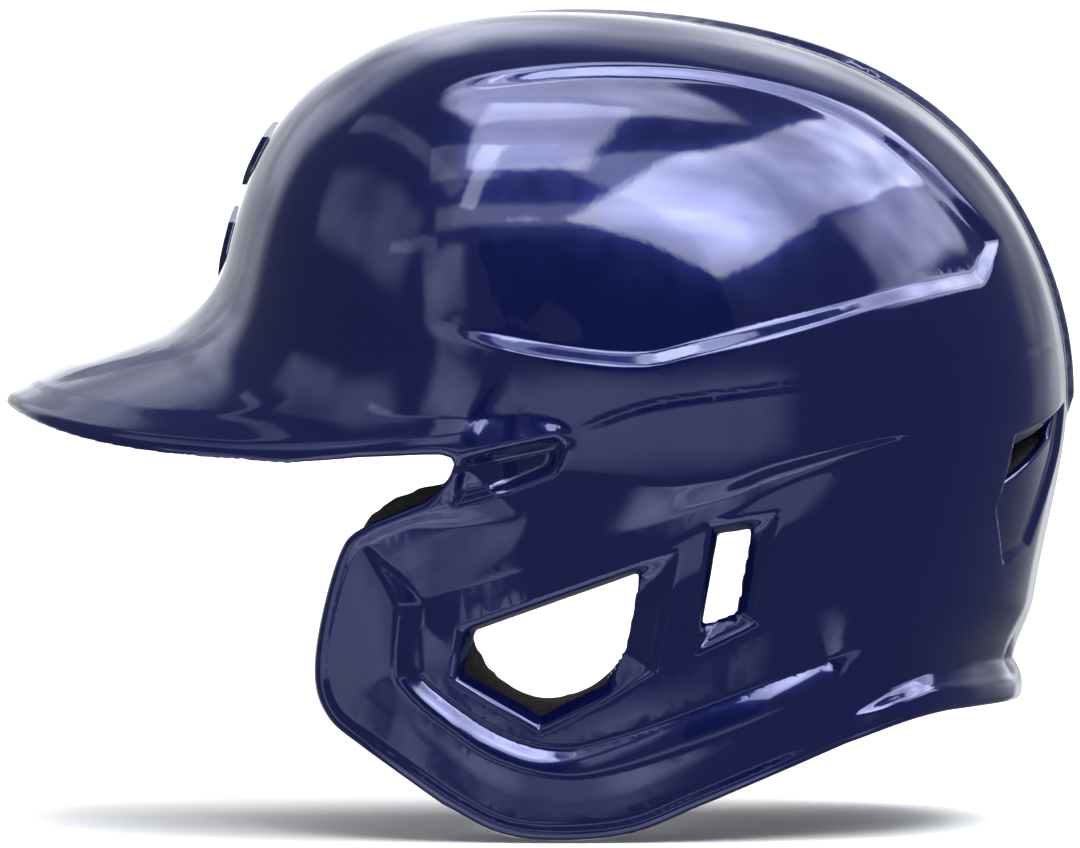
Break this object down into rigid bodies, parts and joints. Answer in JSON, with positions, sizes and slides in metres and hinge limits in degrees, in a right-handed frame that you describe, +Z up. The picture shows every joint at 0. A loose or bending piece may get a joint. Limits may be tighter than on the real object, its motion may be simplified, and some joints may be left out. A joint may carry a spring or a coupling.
{
  "type": "baseball batting helmet",
  "caption": "Glossy navy baseball batting helmet: ribbed dome, curved brim, one left ear flap with jaw extension, ear hole, rear vents, foam liner and fabric pads.",
  "frame": {"origin": "Middle of the head cavity, level with the wearer's brow", "axes": "+Z up to the crown, -Y forwards along the brim, +X to the wearer's left (the ear flap side)"},
  "size_m": [0.2064, 0.3017, 0.23],
  "materials": {
    "shell_plastic": "high-gloss injection-moulded ABS, deep navy under a clear coat",
    "badge_plastic": "gloss navy moulded badge",
    "liner_foam": "black closed-cell expanded foam",
    "pad_fabric": "black brushed knit over soft foam"
  },
  "bodies": {
    "root": {"shell": "shell_plastic", "badge_upper": "badge_plastic", "badge_lower": "badge_plastic", "foam_front": "liner_foam", "foam_crown": "liner_foam", "foam_left": "liner_foam", "foam_right": "liner_foam", "foam_rear": "liner_foam", "pad_forehead": "pad_fabric", "pad_temple_left": "pad_fabric", "pad_temple_right": "pad_fabric", "pad_side_left": "pad_fabric", "pad_side_right": "pad_fabric", "pad_crown_front": "pad_fabric", "pad_crown_rear": "pad_fabric", "pad_occiput_left": "pad_fabric", "pad_occiput_right": "pad_fabric", "pad_nape": "pad_fabric", "pad_jaw": "pad_fabric"}
  },
  "joints": []
}
